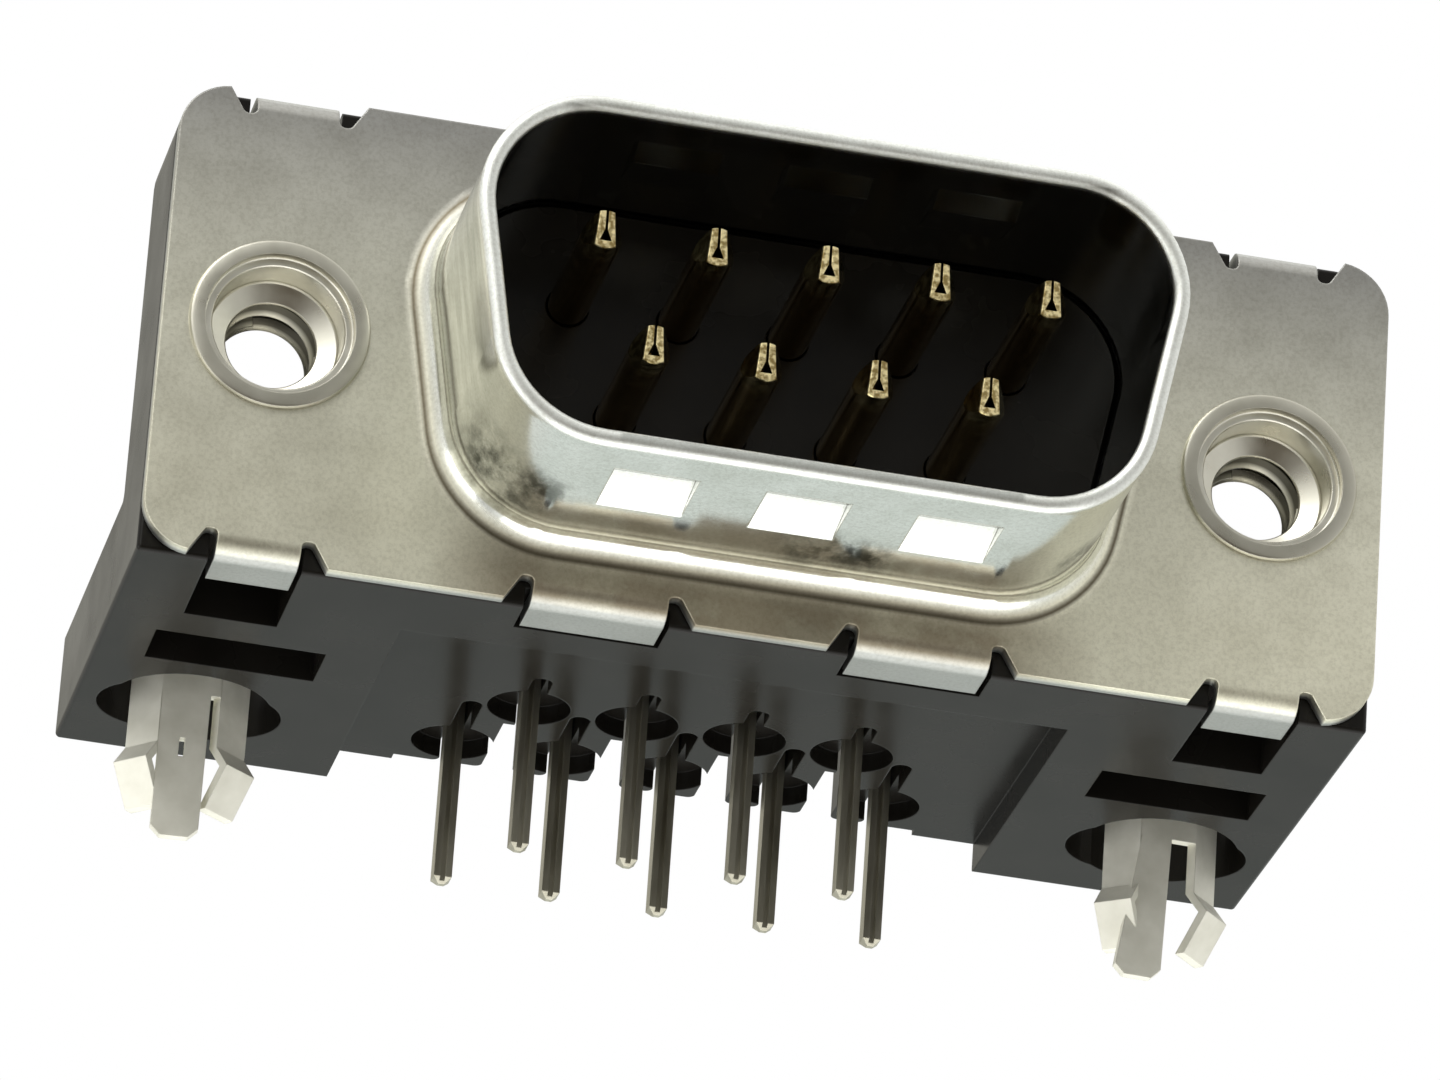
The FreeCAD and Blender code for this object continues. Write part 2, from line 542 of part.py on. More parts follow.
def contact(number, across, sign, row):
    # A stamped contact: rolled pin in front, square tail bent down to the board behind.
    above = f"{sign or '+'} sizes.row_pitch / 2"
    body = new_body(f"contact_{number}", across, above)
    pin = [("-sizes.pin_reach", "0"), ("-sizes.pin_reach", "sizes.nose_radius"),
           ("-sizes.pin_reach + sizes.nose_bevel", "sizes.pin_radius"),
           ("sizes.pin_root", "sizes.pin_radius"), ("sizes.pin_root", "0")]
    revolve(body, outline(body, "pin", "YZ_Plane", [pin]))
    half = "sizes.tail_width / 2"
    drop = f"-(sizes.centre_height {above} + sizes.tail_length)"
    leg = [("sizes.pin_root - sizes.tail_width", half), (f"{row} + {half}", half), (f"{row} + {half}", drop),
           (f"{row} - {half}", drop), (f"{row} - {half}", f"-{half}"), ("sizes.pin_root - sizes.tail_width", f"-{half}")]
    sketch = outline(body, "leg", "YZ_Plane", [leg])
    end_z = float(sketch.evalExpression(drop))
    row_y = float(sketch.evalExpression(row))
    pad(body, sketch, "sizes.tail_width", midplane=True)
    reach = size("tail_width") / 2
    corner = lambda e, way: (runs_along(e, "x") and near(middle(e).y, row_y + way * reach)
                             and near(middle(e).z, way * reach))
    round_off(body, "bend_outside", "sizes.tail_bend + sizes.tail_width", lambda e: corner(e, 1))
    round_off(body, "bend_inside", "sizes.tail_bend", lambda e: corner(e, -1))
    bevel(body, "tail_end", "sizes.tail_point", lambda e: near(e.BoundBox.ZMax, end_z))
    groove = box_loop("-sizes.tail_groove / 2", "sizes.tail_groove / 2",
                      f"{row} - {half} - sizes.tail_groove_depth", f"{row} - {half} + sizes.tail_groove_depth")
    cut(body, outline(body, "groove", "XY_Plane", [groove], shift="-2 * (sizes.tail_bend + sizes.tail_width)"))
    pinched_tip(body)
    hollow = [("0", "sizes.hollow_top"), ("-sizes.nose_hollow / 2", "-sizes.hollow_floor"),
              ("sizes.nose_hollow / 2", "-sizes.hollow_floor")]
    cut(body, outline(body, "nose_hollow", "XZ_Plane", [hollow], shift="sizes.pin_reach"), "sizes.nose_hollow_depth")
    seam = box_loop("-sizes.seam_width / 2", "sizes.seam_width / 2", "0", "sizes.pin_radius + sizes.sheet")
    cut(body, outline(body, "seam", "XZ_Plane", [seam], shift="sizes.pin_reach"), "sizes.seam_length")
    return body


def threaded_insert(side, sign):
    # A clinched bush with a lip over the flange, a cup and a thread for the jackscrew.
    body = new_body(f"threaded_insert_{side}", f"{sign}{INSERT_X}")
    collar = "sizes.insert_back - sizes.clinch_height"
    profile = [("-sizes.lip_height", "sizes.ring_radius"), ("-sizes.lip_height", "sizes.lip_radius"),
               ("0", "sizes.lip_radius"), ("0", "sizes.insert_radius"), (collar, "sizes.insert_radius"),
               (collar, "sizes.clinch_radius"), ("sizes.insert_back", "sizes.clinch_radius"),
               ("sizes.insert_back", "sizes.thread_bore"), ("sizes.thread_front", "sizes.thread_bore"),
               ("sizes.cup_depth", "sizes.cup_radius"), ("sizes.ring_depth", "sizes.cup_radius"),
               ("sizes.ring_depth", "sizes.ring_radius")]
    revolve(body, outline(body, "profile", "YZ_Plane", [profile]))
    front = -size("lip_height")
    round_off(body, "lip_edge", "sizes.lip_round",
              lambda e: near(e.BoundBox.YMin, front) and near(e.BoundBox.YMax, front)
              and near(e.BoundBox.ZMax, size("lip_radius")))
    return body


def board_lock(side, sign):
    # One folded sheet: eyelet on the insert, strap along the foot, three prongs through the board.
    body = new_body(f"board_lock_{side}", f"{sign}{INSERT_X}")
    eyelet = box_loop("-sizes.eyelet_half", "sizes.eyelet_half", FOOT_TOP, "sizes.eyelet_half")
    pad(body, outline(body, "eyelet", "XZ_Plane", [eyelet], shift=f"-{STRAP_SEAT}"), "sizes.lock_sheet", reverse=True)
    top = size("eyelet_half")
    round_off(body, "eyelet_corners", "sizes.eyelet_round",
              lambda e: runs_along(e, "y") and near(middle(e).z, top))
    hole = [("0", "0", "sizes.insert_radius + sizes.fit_gap")]
    cut(body, discs(body, "eyelet_hole", "XZ_Plane", hole), midplane=True)
    strap = box_loop(STRAP_SEAT, "sizes.setback + sizes.lock_sheet / 2", FOOT_TOP, f"{FOOT_TOP} + sizes.lock_sheet")
    pad(body, outline(body, "strap", "YZ_Plane", [strap]), "sizes.strap_width", midplane=True)
    floor = float(body.Tip.evalExpression(FOOT_TOP))
    seat = float(body.Tip.evalExpression(STRAP_SEAT)) + size("lock_sheet")
    round_off(body, "strap_fold", "sizes.strap_bend",
              lambda e: runs_along(e, "x") and near(middle(e).y, seat)
              and near(middle(e).z, floor + size("lock_sheet")))
    prongs(body, side)
    return body


def prongs(body, side):
    # Bridge and middle prong in one plane, and a barbed prong turned back on each side.
    twist, shift = f"sizes.lock_twist_{side}", f"sizes.bridge_shift_{side}"
    top, web_end = f"({FOOT_TOP} + sizes.lock_sheet / 2)", f"({BOARD} + sizes.web_foot)"
    leg_end = f"({BOARD} - sizes.leg_reach)"
    left, right = f"({shift} - sizes.web_half)", f"({shift} + sizes.web_half)"
    tip, bevelled = f"sizes.tip_shift_{side}", f"{leg_end} + sizes.leg_bevel"
    plate = [(left, top), (left, web_end), (f"{left} + sizes.leg_slit", web_end),
             (f"{tip} - sizes.leg_half", bevelled), (f"{tip} - sizes.leg_half + sizes.leg_bevel", leg_end),
             (f"{tip} + sizes.leg_half - sizes.leg_bevel", leg_end), (f"{tip} + sizes.leg_half", bevelled),
             (f"sizes.leg_shift_{side} + sizes.leg_half", web_end), (right, web_end), (right, top)]
    turn = (twist, "0", "-sizes.setback")
    pad(body, outline(body, "middle_prong", "XZ_Plane", [plate], turn=turn), "sizes.lock_sheet", midplane=True)
    outer, inner = "0", "sizes.lock_sheet"
    heights = [f"{BOARD} + sizes.wing_top", f"{BOARD} - sizes.barb_start",
               f"{BOARD} - sizes.barb_widest", f"{BOARD} - sizes.wing_reach"]
    steps = ["0", "0", "-sizes.barb_out", "sizes.barb_in"]
    wing = [(f"{outer} + {step}", height) for step, height in zip(steps, heights)]
    wing += [(f"{inner} + {step}", height) for step, height in zip(steps[::-1], heights[::-1])]
    for name, way in (("left", -1), ("right", 1)):
        reach = f"({way} * sizes.web_half + {shift})"
        along = f"sizes.setback - sizes.lock_sheet / 2 + {reach} * sin({twist})"
        turned = (f"{way} * sizes.wing_angle + {twist}", along, f"{reach} * cos({twist})")
        pad(body, outline(body, f"wing_{name}", "YZ_Plane", [wing], turn=turned), "sizes.wing_width", reverse=way < 0)
    if side == "left":
        low, high = f"({BOARD} - sizes.leg_slot_top - sizes.leg_slot_length)", f"({BOARD} - sizes.leg_slot_top)"
        slot = box_loop(f"{tip} - sizes.leg_slot_width / 2", f"{tip} + sizes.leg_slot_width / 2", low, high)
        cut(body, outline(body, "leg_slot", "XZ_Plane", [slot], turn=turn), "2 * sizes.lock_sheet", midplane=True)


front_shell()
housing()
for place in contact_places():
    contact(*place)
for side, sign in (("left", "-"), ("right", "")):
    threaded_insert(side, sign)
    board_lock(side, sign)
doc.recompute()

# Every object must have built, and every piece must be one sound solid, before anything is written.
for item in doc.Objects:
    if "Invalid" in item.State or "Error" in item.State:
        raise RuntimeError(f"{item.Name} has failed: {item.State}")
pieces = [item for item in doc.Objects if item.TypeId == "PartDesign::Body"]
for piece in pieces:
    if piece.Shape.isNull() or not piece.Shape.isValid() or len(piece.Shape.Solids) != 1:
        raise RuntimeError(f"{piece.Label} is not one sound solid")
for piece in pieces:
    piece.Shape.exportStep(f"parts/{piece.Label}.step")
    box = piece.Shape.BoundBox
    print(piece.Label, "volume", round(piece.Shape.Volume, 3), "from",
          [round(v, 2) for v in (box.XMin, box.YMin, box.ZMin)], "to",
          [round(v, 2) for v in (box.XMax, box.YMax, box.ZMax)])
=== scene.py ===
import bpy
from math import radians, pi
from mathutils import Matrix, Vector


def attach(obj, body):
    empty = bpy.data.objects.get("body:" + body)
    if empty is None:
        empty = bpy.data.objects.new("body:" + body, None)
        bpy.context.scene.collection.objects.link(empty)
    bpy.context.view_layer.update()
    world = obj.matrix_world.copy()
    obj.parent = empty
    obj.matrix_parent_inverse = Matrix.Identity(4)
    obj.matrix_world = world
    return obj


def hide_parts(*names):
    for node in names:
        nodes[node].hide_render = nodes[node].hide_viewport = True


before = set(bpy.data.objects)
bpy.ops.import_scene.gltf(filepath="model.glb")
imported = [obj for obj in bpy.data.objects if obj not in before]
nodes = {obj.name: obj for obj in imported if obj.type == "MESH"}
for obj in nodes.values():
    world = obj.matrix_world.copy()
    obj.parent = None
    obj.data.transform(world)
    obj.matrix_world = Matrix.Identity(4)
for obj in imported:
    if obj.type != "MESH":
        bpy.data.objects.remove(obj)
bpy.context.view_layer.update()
mm = 0.001

# The view: a long lens from below and a little left of the mating face
view = {
    "place": (-0.04419, -0.227777, -0.098537),
    "right": (0.97317, -0.22106, 0.06382),
    "up": (-0.14832, -0.39067, 0.90850),
    "back": (-0.17590, -0.89360, -0.41297),
    "lens": 250.46,
    "sensor": 36.0,
}


def makeCamera():
    lens = bpy.data.cameras.new("viewCamera")
    lens.lens = view["lens"]
    lens.sensor_width = view["sensor"]
    lens.clip_start = 0.005
    lens.clip_end = 20
    camera = bpy.data.objects.new("viewCamera", lens)
    bpy.context.scene.collection.objects.link(camera)
    turn = Matrix((view["right"], view["up"], view["back"])).transposed()
    camera.matrix_world = Matrix.Translation(view["place"]) @ turn.to_4x4()
    bpy.context.scene.camera = camera


makeCamera()
bpy.context.scene.view_settings.view_transform = "Standard"
print("camera ready")


# Small helpers for node materials

def newMaterial(name):
    mat = bpy.data.materials.new(name)
    mat.use_nodes = True
    tree = mat.node_tree
    shader = tree.nodes["Principled BSDF"]
    where = tree.nodes.new("ShaderNodeTexCoord")
    return mat, tree, shader, where.outputs["Object"]


def noise(tree, where, scale, detail=3.0, rough=0.55, stretch=None):
    if stretch:
        mapping = tree.nodes.new("ShaderNodeMapping")
        mapping.inputs["Scale"].default_value = stretch
        tree.links.new(where, mapping.inputs["Vector"])
        where = mapping.outputs["Vector"]
    tex = tree.nodes.new("ShaderNodeTexNoise")
    tex.inputs["Scale"].default_value = scale
    tex.inputs["Detail"].default_value = detail
    tex.inputs["Roughness"].default_value = rough
    tree.links.new(where, tex.inputs["Vector"])
    return tex.outputs["Fac"]


def ramp(tree, value, stops):
    node = tree.nodes.new("ShaderNodeValToRGB")
    while len(node.color_ramp.elements) < len(stops):
        node.color_ramp.elements.new(0.5)
    for element, (at, colour) in zip(node.color_ramp.elements, stops):
        element.position = at
        element.color = colour if len(colour) == 4 else (*colour, 1)
    tree.links.new(value, node.inputs["Fac"])
    return node.outputs["Color"]


def spread(tree, value, low, high, toLow, toHigh):
    node = tree.nodes.new("ShaderNodeMapRange")
    for name, number in (("From Min", low), ("From Max", high), ("To Min", toLow), ("To Max", toHigh)):
        node.inputs[name].default_value = number
    tree.links.new(value, node.inputs["Value"])
    return node.outputs["Result"]


def blendColours(tree, factor, first, second, kind="MIX"):
    node = tree.nodes.new("ShaderNodeMix")
    node.data_type = "RGBA"
    node.blend_type = kind
    for socket, source in ((node.inputs[0], factor), (node.inputs[6], first), (node.inputs[7], second)):
        if isinstance(source, (int, float)):
            socket.default_value = source
        elif isinstance(source, tuple):
            socket.default_value = (*source, 1)
        else:
            tree.links.new(source, socket)
    return node.outputs[2]


def calculate(tree, kind, first, second=0.0):
    node = tree.nodes.new("ShaderNodeMath")
    node.operation = kind
    for socket, source in zip(node.inputs, (first, second)):
        if isinstance(source, (int, float)):
            socket.default_value = source
        else:
            tree.links.new(source, socket)
    return node.outputs[0]


def product(tree, first, *others):
    for other in others:
        first = calculate(tree, "MULTIPLY", first, other)
    return first


# Factors that turn from 0 to top, or from top to 0, between two places in mm

def fadeIn(tree, value, places, top=1.0):
    return spread(tree, value, places[0] * mm, places[1] * mm, 0, top)


def fadeOut(tree, value, places, top=1.0):
    return spread(tree, value, places[0] * mm, places[1] * mm, top, 0)


def awayFrom(tree, value, place):
    return calculate(tree, "ABSOLUTE", calculate(tree, "SUBTRACT", value, place * mm))


edgeSamples = 6


def bump(tree, shader, height, strength, distance, edge=0.0, lean=None):
    node = tree.nodes.new("ShaderNodeBump")
    node.inputs["Strength"].default_value = strength
    node.inputs["Distance"].default_value = distance
    tree.links.new(height, node.inputs["Height"])
    tree.links.new(node.outputs["Normal"], shader.inputs["Normal"])
    if edge:
        # sharp edges catch the light as a thin line
        soft = tree.nodes.new("ShaderNodeBevel")
        soft.samples = edgeSamples
        if isinstance(edge, float):
            soft.inputs["Radius"].default_value = edge
        else:
            tree.links.new(edge, soft.inputs["Radius"])
        normal = soft.outputs["Normal"]
        if lean:
            # drawn walls lean a few degrees
            toFront = tree.nodes.new("ShaderNodeCombineXYZ")
            tree.links.new(lean, toFront.inputs["Y"])
            for kind, second in (("ADD", toFront.outputs["Vector"]), ("NORMALIZE", None)):
                step = tree.nodes.new("ShaderNodeVectorMath")
                step.operation = kind
                tree.links.new(normal, step.inputs[0])
                if second:
                    tree.links.new(second, step.inputs[1])
                normal = step.outputs["Vector"]
        tree.links.new(normal, node.inputs["Normal"])


def axisOf(tree, where, axis):
    node = tree.nodes.new("ShaderNodeSeparateXYZ")
    tree.links.new(where, node.inputs["Vector"])
    return node.outputs[axis]


# The part of a noise's range that most of its values fall in
middleRange = (0.3, 0.7)

# Places are in mm in the frame: x across, y from front to back, z up
shellLook = {
    "cloud": (700, 4, 0.6), "grain": (11000, 3, 0.7), "relief": (0.10, 0.00001),
    "flangeGloss": 0.40, "drawnGloss": 0.12, "unevenness": (-0.03, 0.04), "rimGloss": 0.34,
    "glossTurn": (-9.85, -9.6), "rimTurn": (-15.3, -15.1), "face": -9.5,
    "edge": 0.00006, "rimEdge": 0.00025, "edgeTurn": (-15.1, -14.9),
    "lean": -0.06, "leanTurn": (-10.8, -10.0), "leanRim": (-15.2, -15.0),
}
# painted light and shade: lighter and warmer below, darker and greyer above, painted shade on the lower left and
# under the shroud
flangeLook = {
    "tone": [(0.15, (0.90, 0.875, 0.71)), (0.55, (0.80, 0.785, 0.66)), (0.98, (0.385, 0.38, 0.36))],
    "height": 12.5,
    "leftShade": (0.05, 0.05, 0.05), "leftShare": 0.22, "leftAcross": (-9.0, 7.0), "leftUp": (4.0, 11.5),
    "underShroudShade": (0.40, 0.35, 0.26), "underShroudShadeUp": (0.8, 2.2), "underShroudShadeAcross": (6.2, 8.4), "ragged": (0.3, 0.55, 0.55, 1),
    "blotch": [(0.32, (0.965, 0.96, 0.95)), (0.62, (1, 1, 1))],
    "speck": [(0.34, (0.86, 0.855, 0.84)), (0.58, (1, 1, 1))], "reach": (0.1, 0.3),
    "creaseShade": (0.16, 0.14, 0.10), "creaseStart": (0.01, 0.03), "creaseEnd": (0.04, 0.10),
}
# painted dark reflections on the shroud's lower wall near its root: place and radius of each
drawnLook = {
    "tone": [(0.32, (0.84, 0.85, 0.80)), (0.62, (0.90, 0.915, 0.875))],
    "darkReflections": [((-7.0, -11.3, 2.9), 2.3), ((-6.1, -12.0, 2.3), 1.2), ((0.9, -11.3, 2.0), 1.5),
              ((2.1, -11.2, 2.0), 1.2), ((7.2, -11.5, 2.6), 1.0)],
    "darkReflection": (0.12, 0.125, 0.105), "darkReflectionShare": 0.9, "wander": (1500, 5, 0.65, (1, 0.6, 1)),
    "ragged": (0.38, 0.60, 0, 1.6),
    "tab": (0.38, 0.39, 0.37), "tabBehind": (-9.4, -9.2),
    "inside": (0.42, 0.42, 0.39), "insideFront": (-9.9, -9.8), "insideAcross": (6.6, 7.0),
    "insideMiddle": 9.85, "insideReach": (0.60, 0.66),
    "dimple": (0.42, 0.435, 0.41), "dimpleShare": 0.8, "dimpleUp": (1.71, 1.94), "dimpleEnd": (1.98, 2.00),
    "dimpleAcross": (4.9, 5.0), "dimpleFront": (-12.0, -11.8),
    "upright": (2600, 3, 0.6, (1, 1, 0.12)), "streakedReflection": [(0.35, (0.44, 0.45, 0.41)), (0.65, (0.62, 0.63, 0.59))],
    "endAcross": (7.6, 8.3), "endBack": (-10.6, -10.2), "endFront": (-15.1, -14.9),
}


def flangeColour(tree, cloud, x, across, z):
    look = flangeLook
    # painted light: the flange is lighter and warmer below and darker and greyer towards the top
    upwards = spread(tree, z, 0, look["height"] * mm, 0, 1)
    colour = ramp(tree, upwards, look["tone"])
    # painted shade on the flange's lower left
    left = product(tree, fadeOut(tree, x, look["leftAcross"], look["leftShare"]),
                   fadeOut(tree, z, look["leftUp"]))
    colour = blendColours(tree, left, colour, look["leftShade"])
    # painted shade on the flange under the shroud, ragged at its edge
    underShroudShaded = product(tree, fadeOut(tree, z, look["underShroudShadeUp"]), fadeOut(tree, across, look["underShroudShadeAcross"]),
                      spread(tree, cloud, *look["ragged"]))
    colour = blendColours(tree, underShroudShaded, colour, look["underShroudShade"])
    return blendColours(tree, 1.0, colour, ramp(tree, cloud, look["blotch"]), "MULTIPLY")


def drawnColour(tree, where, cloud, across, y, z, inside):
    look = drawnLook
    colour = ramp(tree, cloud, look["tone"])
    wander = noise(tree, where, *look["wander"])
    # painted dark reflections on the shroud's lower wall near its root
    for place, radius in look["darkReflections"]:
        gap = tree.nodes.new("ShaderNodeVectorMath")
        gap.operation = "DISTANCE"
        gap.inputs[1].default_value = [v * mm for v in place]
        tree.links.new(where, gap.inputs[0])
        near = fadeOut(tree, gap.outputs["Value"], (0, radius), look["darkReflectionShare"])
        ragged = product(tree, near, spread(tree, wander, *look["ragged"]))
        colour = blendColours(tree, ragged, colour, look["darkReflection"])
    # painted shade on the folded tabs and inside the shroud's upper wall
    colour = blendColours(tree, fadeIn(tree, y, look["tabBehind"]), colour, look["tab"])
    colour = blendColours(tree, inside, colour, look["inside"])
    # the dimples' deeper half falls into shade
    deep = product(tree, fadeIn(tree, z, look["dimpleUp"], look["dimpleShare"]),
                   fadeOut(tree, z, look["dimpleEnd"]), fadeOut(tree, across, look["dimpleAcross"]),
                   fadeOut(tree, y, look["dimpleFront"]))
    colour = blendColours(tree, deep, colour, look["dimple"])
    # painted dark reflection on the shroud's ends, streaked upright
    ends = product(tree, fadeIn(tree, across, look["endAcross"]), fadeOut(tree, y, look["endBack"]),
                   fadeIn(tree, y, look["endFront"]))
    streakedReflection = ramp(tree, noise(tree, where, *look["upright"]), look["streakedReflection"])
    return blendColours(tree, ends, colour, streakedReflection)


def shellMaterial():
    mat, tree, shader, where = newMaterial("platedSheet")
    look = shellLook
    cloud = noise(tree, where, *look["cloud"])
    grain = noise(tree, where, *look["grain"])
    x, y, z = (axisOf(tree, where, axis) for axis in "XYZ")
    across = calculate(tree, "ABSOLUTE", x)
    # the inner side of the shroud's upper wall, where shade is painted
    inside = product(tree, fadeOut(tree, y, drawnLook["insideFront"]),
                     fadeOut(tree, across, drawnLook["insideAcross"]),
                     fadeOut(tree, awayFrom(tree, z, drawnLook["insideMiddle"]), drawnLook["insideReach"]))
    flange = flangeColour(tree, cloud, x, across, z)
    drawn = drawnColour(tree, where, cloud, across, y, z, inside)
    flat = fadeOut(tree, awayFrom(tree, y, look["face"]), flangeLook["reach"])
    colour = blendColours(tree, flat, drawn, flange)
    # painted shade: a dark line where the shroud's fillet runs out on the flange
    ahead = calculate(tree, "SUBTRACT", look["face"] * mm, y)
    creaseShade = product(tree, fadeIn(tree, ahead, flangeLook["creaseStart"]),
                     fadeOut(tree, ahead, flangeLook["creaseEnd"]))
    colour = blendColours(tree, creaseShade, colour, flangeLook["creaseShade"])
    colour = blendColours(tree, 1.0, colour, ramp(tree, grain, flangeLook["speck"]), "MULTIPLY")
    tree.links.new(colour, shader.inputs["Base Color"])
    shader.inputs["Metallic"].default_value = 1
    # the drawn shroud is smoother than the flat flange behind it and than its own rim
    low, high = (look["drawnGloss"] + change for change in look["unevenness"])
    rough = spread(tree, cloud, *middleRange, low, high)
    flangeMore = fadeIn(tree, y, look["glossTurn"], look["flangeGloss"] - look["drawnGloss"])
    rimMore = fadeOut(tree, y, look["rimTurn"], look["rimGloss"] - look["drawnGloss"])
    rough = calculate(tree, "ADD", calculate(tree, "ADD", rough, flangeMore), rimMore)
    tree.links.new(rough, shader.inputs["Roughness"])
    edge = spread(tree, y, look["edgeTurn"][0] * mm, look["edgeTurn"][1] * mm, look["rimEdge"], look["edge"])
    lean = product(tree, fadeOut(tree, y, look["leanTurn"], look["lean"]), fadeIn(tree, y, look["leanRim"]),
                   calculate(tree, "SUBTRACT", 1.0, inside))
    bump(tree, shader, grain, *look["relief"], edge, lean)
    return mat


plasticLook = {
    "cloud": (420, 3, 0.5), "grain": (9000, 2, 0.6), "relief": (0.12, 0.00001), "edge": 0.00005,
    "tone": [(0.3, (0.0075, 0.0066, 0.0052)), (0.7, (0.0125, 0.0112, 0.0094))],
    "gloss": (0.20, 0.30), "ior": 1.27,
}


def plasticMaterial():
    mat, tree, shader, where = newMaterial("mouldedBlack")
    look = plasticLook
    cloud = noise(tree, where, *look["cloud"])
    tree.links.new(ramp(tree, cloud, look["tone"]), shader.inputs["Base Color"])
    tree.links.new(spread(tree, cloud, *middleRange, *look["gloss"]), shader.inputs["Roughness"])
    shader.inputs["IOR"].default_value = look["ior"]
    bump(tree, shader, noise(tree, where, *look["grain"]), *look["relief"], look["edge"])
    return mat


contactLook = {
    "grain": (3800, 3, 0.6, (1, 1, 0.15)), "relief": (0.10, 0.00001), "edge": 0.00003,
    "gold": [(0.3, (0.72, 0.48, 0.18)), (0.7, (0.92, 0.68, 0.32))],
    "tail": [(0.3, (0.41, 0.39, 0.31)), (0.7, (0.55, 0.53, 0.44))],
    "barrelShade": (0.05, 0.035, 0.015), "barrelShare": 0.6, "barrelTurn": (-14.1, -13.7),
    "tailTurn": (-7.8, -6.8), "mottle": (6500, 2, 0.6), "spotShare": 0.85,
    "spot": [(0.40, (0.24, 0.18, 0.065)), (0.60, (0.96, 0.85, 0.50))],
    "barrelGloss": 0.14, "faceGloss": 0.40, "tailGloss": 0.42, "unevenness": (-0.03, 0.05),
    "faceTurn": (-14.62, -14.56),
}


def contactMaterial():
    mat, tree, shader, where = newMaterial("contactPlating")
    look = contactLook
    grain = noise(tree, where, *look["grain"])
    gold = ramp(tree, grain, look["gold"])
    dull = ramp(tree, grain, look["tail"])
    depth = axisOf(tree, where, "Y")
    # painted shade: the barrels behind the tips are darkened
    along = fadeIn(tree, depth, look["barrelTurn"], look["barrelShare"])
    gold = blendColours(tree, along, gold, look["barrelShade"])
    # the cut tips are mottled, and the bright flecks are painted highlights
    spots = ramp(tree, noise(tree, where, *look["mottle"]), look["spot"])
    gold = blendColours(tree, fadeOut(tree, depth, look["barrelTurn"], look["spotShare"]), gold, spots)
    behind = fadeIn(tree, depth, look["tailTurn"])
    tree.links.new(blendColours(tree, behind, gold, dull), shader.inputs["Base Color"])
    shader.inputs["Metallic"].default_value = 1
    # polished barrel, coarser where the sheet was cut at the tip, duller tails
    face = fadeOut(tree, depth, look["faceTurn"], look["faceGloss"] - look["barrelGloss"])
    tail = product(tree, behind, look["tailGloss"] - look["barrelGloss"])
    low, high = (look["barrelGloss"] + change for change in look["unevenness"])
    rough = spread(tree, grain, *middleRange, low, high)
    rough = calculate(tree, "ADD", calculate(tree, "ADD", face, tail), rough)
    tree.links.new(rough, shader.inputs["Roughness"])
    bump(tree, shader, grain, *look["relief"], look["edge"])
    return mat


insertLook = {
    "cloud": (900, 3, 0.6), "grain": (7000, 2, 0.6), "relief": (0.05, 0.00001), "edge": 0.00003,
    "tone": [(0.3, (0.66, 0.635, 0.545)), (0.7, (0.80, 0.78, 0.69))], "gloss": (0.26, 0.34),
    "lip": (0.36, 0.345, 0.28), "lipShare": 0.5, "lipTurn": (-9.58, -9.5),
    "groove": (0.055, 0.05, 0.035), "grooveShare": 0.9, "grooveFrom": (-8.3, -8.25),
    "grooveRadius": (1.15, 1.25), "place": 12.495, "height": 6.25,
}


def insertMaterial():
    mat, tree, shader, where = newMaterial("turnedInsert")
    look = insertLook
    cloud = noise(tree, where, *look["cloud"])
    colour = ramp(tree, cloud, look["tone"])
    # darker on the lip, painted shade in the thread's roots between its crests
    x, depth, z = (axisOf(tree, where, axis) for axis in "XYZ")
    colour = blendColours(tree, fadeOut(tree, depth, look["lipTurn"], look["lipShare"]), colour, look["lip"])
    sideways = calculate(tree, "SUBTRACT", calculate(tree, "ABSOLUTE", x), look["place"] * mm)
    upwards = calculate(tree, "SUBTRACT", z, look["height"] * mm)
    squares = [calculate(tree, "POWER", side, 2.0) for side in (sideways, upwards)]
    radius = calculate(tree, "SQRT", calculate(tree, "ADD", *squares))
    # painted shade in the thread's roots, between the crests
    groove = product(tree, fadeIn(tree, depth, look["grooveFrom"]),
                     fadeIn(tree, radius, look["grooveRadius"], look["grooveShare"]))
    colour = blendColours(tree, groove, colour, look["groove"])
    tree.links.new(colour, shader.inputs["Base Color"])
    shader.inputs["Metallic"].default_value = 1
    tree.links.new(spread(tree, cloud, *middleRange, *look["gloss"]), shader.inputs["Roughness"])
    bump(tree, shader, noise(tree, where, *look["grain"]), *look["relief"], look["edge"])
    return mat


lockLook = {
    "cloud": (1100, 3, 0.6), "grain": (9000, 2, 0.6), "relief": (0.04, 0.00001), "edge": 0.00004,
    "tone": [(0.3, (0.74, 0.725, 0.625)), (0.7, (0.87, 0.855, 0.76))],
    "metal": 0.35, "gloss": (0.46, 0.58),
}


def lockMaterial():
    mat, tree, shader, where = newMaterial("tinnedLock")
    look = lockLook
    cloud = noise(tree, where, *look["cloud"])
    tree.links.new(ramp(tree, cloud, look["tone"]), shader.inputs["Base Color"])
    shader.inputs["Metallic"].default_value = look["metal"]
    tree.links.new(spread(tree, cloud, *middleRange, *look["gloss"]), shader.inputs["Roughness"])
    bump(tree, shader, noise(tree, where, *look["grain"]), *look["relief"], look["edge"])
    return mat


platedSheet = shellMaterial()
mouldedBlack = plasticMaterial()
contactPlating = contactMaterial()
turnedInsert = insertMaterial()
tinnedLock = lockMaterial()


def finishOf(name):
    if name == "front_shell":
        return platedSheet
    if name == "housing":
        return mouldedBlack
    if name.startswith("contact"):
        return contactPlating
    return tinnedLock if name.startswith("board_lock") else turnedInsert


for name, node in nodes.items():
    for slot in node.material_slots:
        slot.material = finishOf(name)
print("materials on", len(nodes), "nodes")

